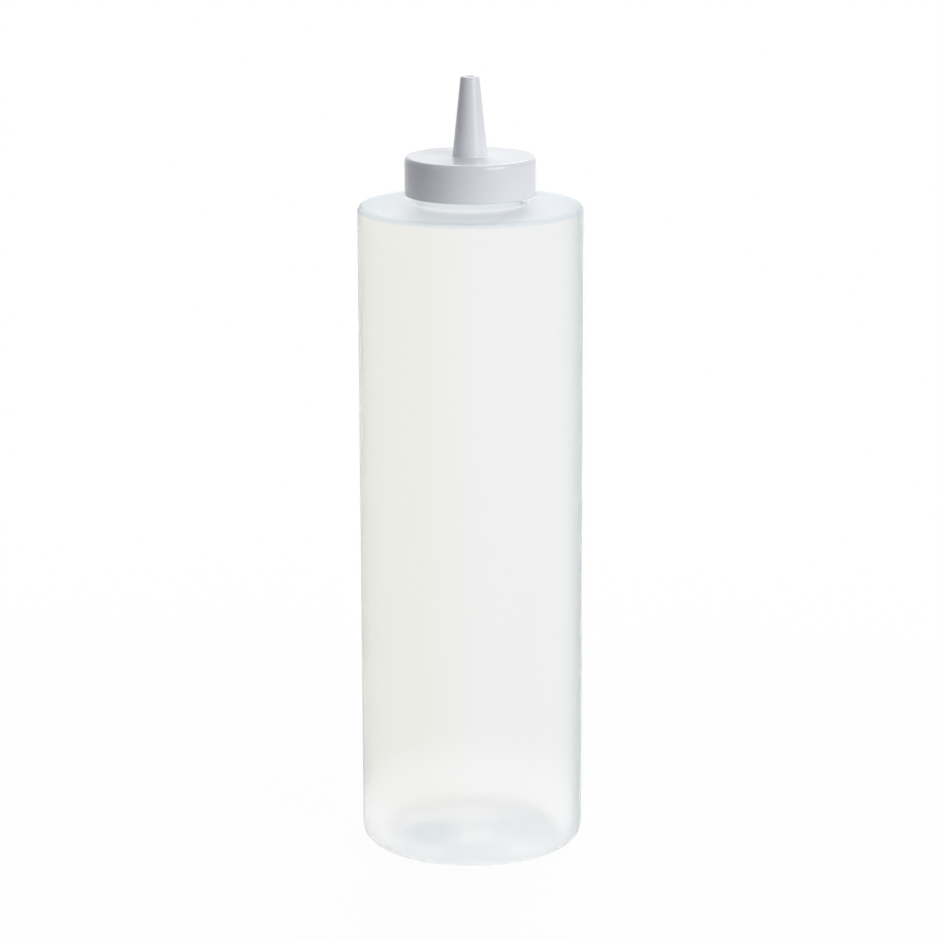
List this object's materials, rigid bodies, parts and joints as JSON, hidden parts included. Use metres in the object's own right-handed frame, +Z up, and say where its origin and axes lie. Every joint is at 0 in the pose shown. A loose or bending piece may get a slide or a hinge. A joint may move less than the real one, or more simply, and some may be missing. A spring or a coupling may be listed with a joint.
{
  "type": "squeeze bottle",
  "caption": "Upright translucent squeeze bottle for sauce, with a smooth screw cap that ends in a tapering dispensing nozzle.",
  "frame": {"origin": "centre of the foot ring's underside, on the surface that the bottle stands on", "axes": "+Z up along the bottle's axis towards the nozzle; X and Y are free, because the outside is round, and -Y faces the picture's camera"},
  "size_m": [0.07, 0.07, 0.2446],
  "materials": {
    "natural_polyethylene": "smooth, milky and translucent",
    "seal_foam": "soft closed-cell foam",
    "white_polypropylene": "smooth satin, slightly translucent"
  },
  "bodies": {
    "bottle": {"bottle": "natural_polyethylene"},
    "seal_liner": {"seal_liner": "seal_foam"},
    "nozzle_cap": {"nozzle_cap": "white_polypropylene"}
  },
  "joints": [
    {"name": "cap_rise", "type": "slide", "parent": "bottle", "child": "seal_liner", "axis": [0, 0, 1], "range_m": [0, 0.0127]},
    {"name": "cap_turn", "type": "hinge", "parent": "seal_liner", "child": "nozzle_cap", "pos_m": [0, 0, 0.2137], "axis": [0, 0, 1], "range_deg": [0, 1080]}
  ],
  "couplings": [
    {"joint": "cap_rise", "follows": "cap_turn", "m_per_rad": 0.0006737}
  ]
}
